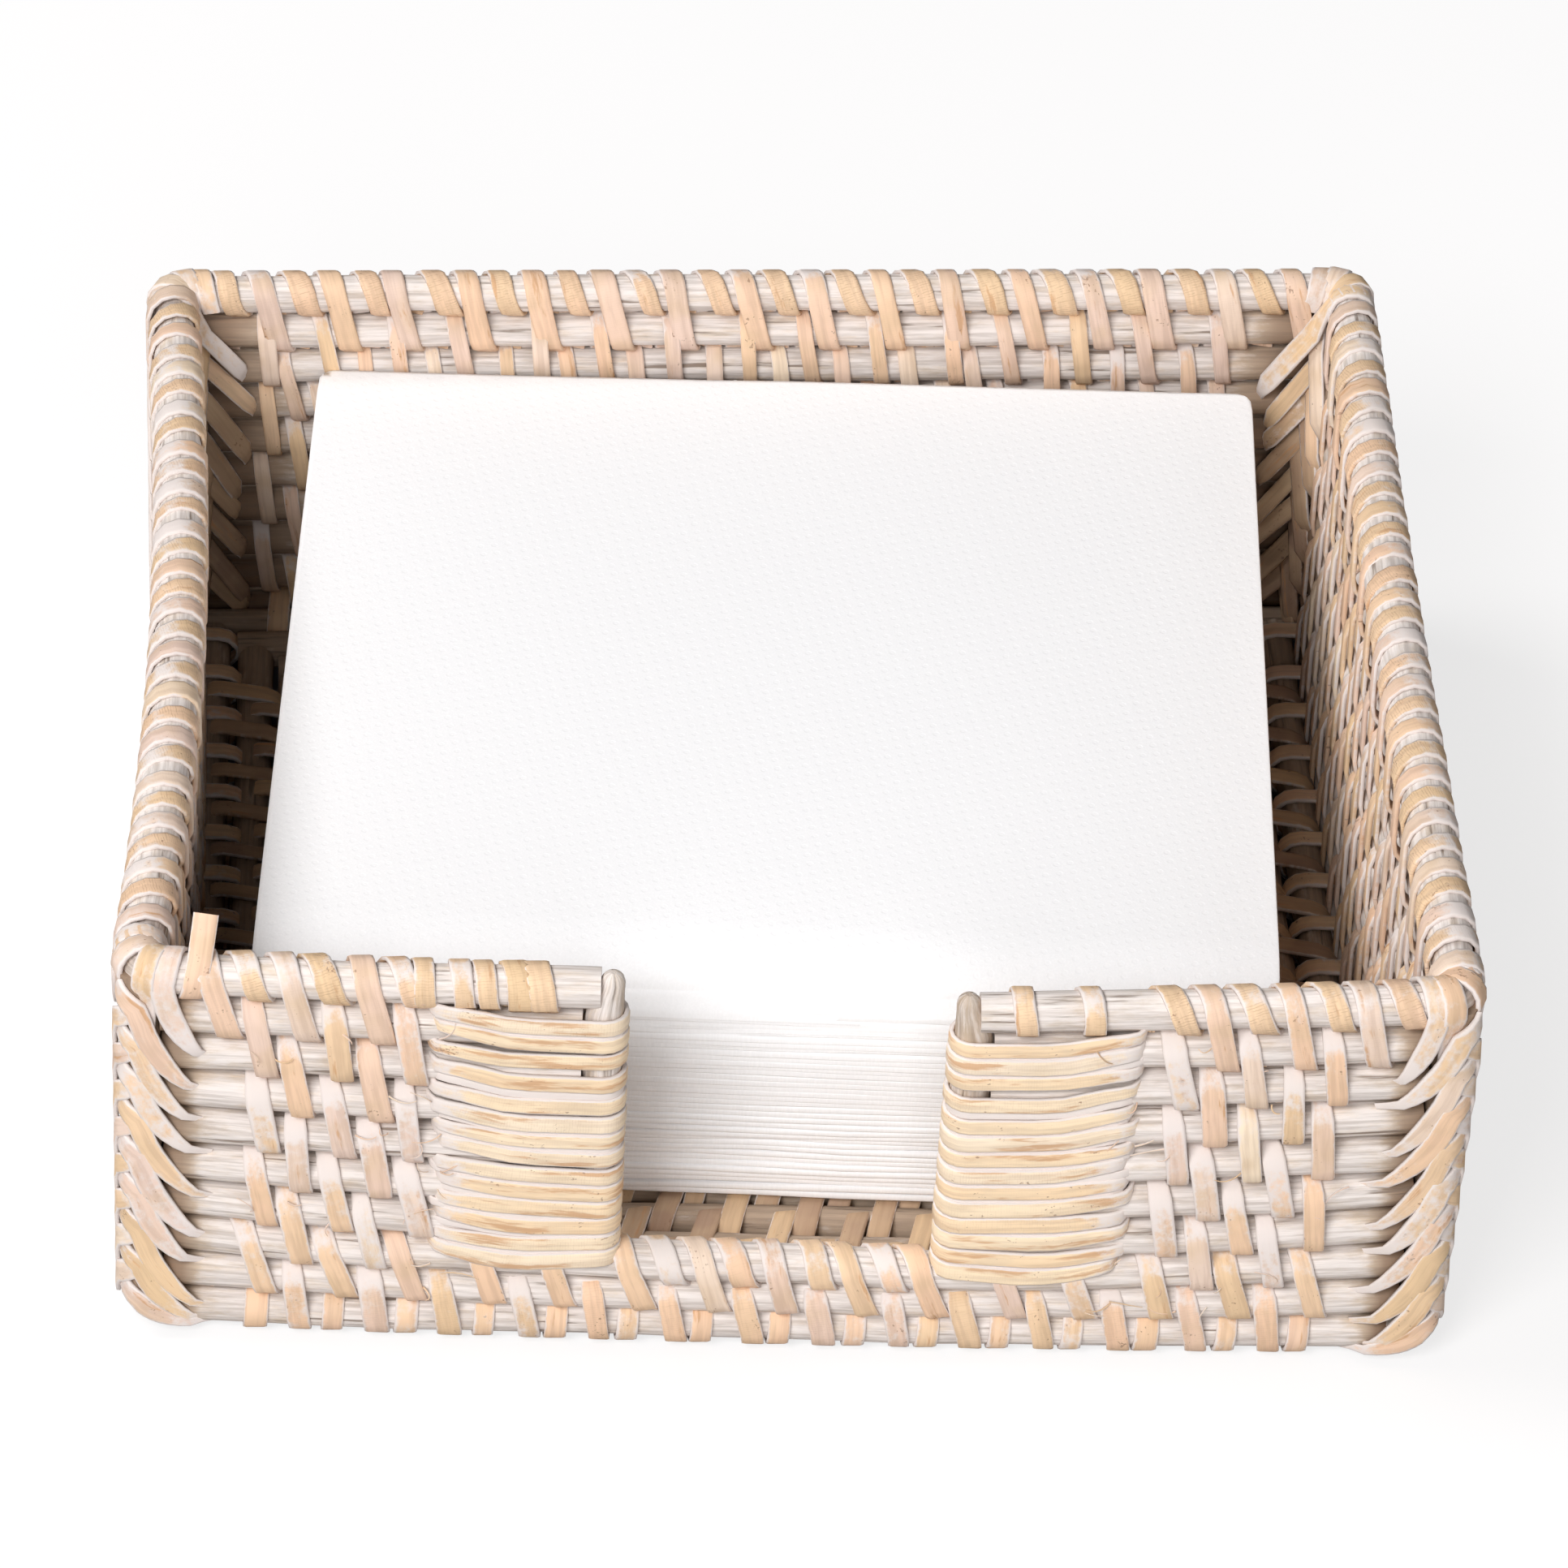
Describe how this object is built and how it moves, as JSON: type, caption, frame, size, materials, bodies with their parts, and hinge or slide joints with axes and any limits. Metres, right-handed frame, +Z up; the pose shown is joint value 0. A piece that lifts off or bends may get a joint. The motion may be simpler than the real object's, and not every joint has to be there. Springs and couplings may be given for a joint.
{
  "type": "napkin holder",
  "caption": "Open, nearly square tray of stacked and lashed cane rods with a finger notch in the front wall, holding a stack of folded paper napkins that lifts out.",
  "frame": {"origin": "middle of the underside, on the surface that the tray stands on", "axes": "+Z up, the finger notch faces -Y, +X to the right seen from the notch"},
  "size_m": [0.21, 0.202, 0.0728],
  "materials": {
    "whitewashed_cane": "chalky whitewash over grain",
    "lashing_cane": "satin peel with whitewash residue",
    "binding_cane": "satin peel, stained streaks",
    "tissue_paper": "matte embossed tissue"
  },
  "bodies": {
    "tray": {"back_rod_01": "whitewashed_cane", "back_rod_02": "whitewashed_cane", "back_rod_03": "whitewashed_cane", "back_rod_04": "whitewashed_cane", "back_rod_05": "whitewashed_cane", "back_rod_06": "whitewashed_cane", "back_rod_07": "whitewashed_cane", "back_rod_08": "whitewashed_cane", "back_rod_09": "whitewashed_cane", "back_rod_10": "whitewashed_cane", "front_rod_01": "whitewashed_cane", "front_rod_02": "whitewashed_cane", "front_rod_03": "whitewashed_cane", "front_rod_04": "whitewashed_cane", "front_rod_05": "whitewashed_cane", "front_rod_06": "whitewashed_cane", "front_rod_07": "whitewashed_cane", "front_rod_08": "whitewashed_cane", "front_rod_09": "whitewashed_cane", "front_rod_10": "whitewashed_cane", "left_rod_01": "whitewashed_cane", "left_rod_02": "whitewashed_cane", "left_rod_03": "whitewashed_cane", "left_rod_04": "whitewashed_cane", "left_rod_05": "whitewashed_cane", "left_rod_06": "whitewashed_cane", "left_rod_07": "whitewashed_cane", "left_rod_08": "whitewashed_cane", "left_rod_09": "whitewashed_cane", "left_rod_10": "whitewashed_cane", "right_rod_01": "whitewashed_cane", "right_rod_02": "whitewashed_cane", "right_rod_03": "whitewashed_cane", "right_rod_04": "whitewashed_cane", "right_rod_05": "whitewashed_cane", "right_rod_06": "whitewashed_cane", "right_rod_07": "whitewashed_cane", "right_rod_08": "whitewashed_cane", "right_rod_09": "whitewashed_cane", "right_rod_10": "whitewashed_cane", "corner_post_front_left": "whitewashed_cane", "corner_post_front_right": "whitewashed_cane", "corner_post_back_left": "whitewashed_cane", "corner_post_back_right": "whitewashed_cane", "notch_post_left": "whitewashed_cane", "notch_post_right": "whitewashed_cane", "floor_rods_front": "whitewashed_cane", "floor_rods_back": "whitewashed_cane", "floor_rods_left": "whitewashed_cane", "floor_rods_right": "whitewashed_cane", "notch_binding_left": "binding_cane", "notch_binding_right": "binding_cane", "rim_lashing": "lashing_cane", "sill_lashing": "lashing_cane", "foot_lashing": "lashing_cane"},
    "napkin_stack": {"napkin_stack": "tissue_paper"},
    "top_napkin": {"top_napkin": "tissue_paper"}
  },
  "joints": [
    {"name": "napkin_stack_lift", "type": "slide", "parent": "tray", "child": "napkin_stack", "axis": [0, 0, 1], "range_m": [0, 0.09]},
    {"name": "top_napkin_lift", "type": "slide", "parent": "napkin_stack", "child": "top_napkin", "axis": [0, 0, 1], "range_m": [0, 0.09]}
  ]
}
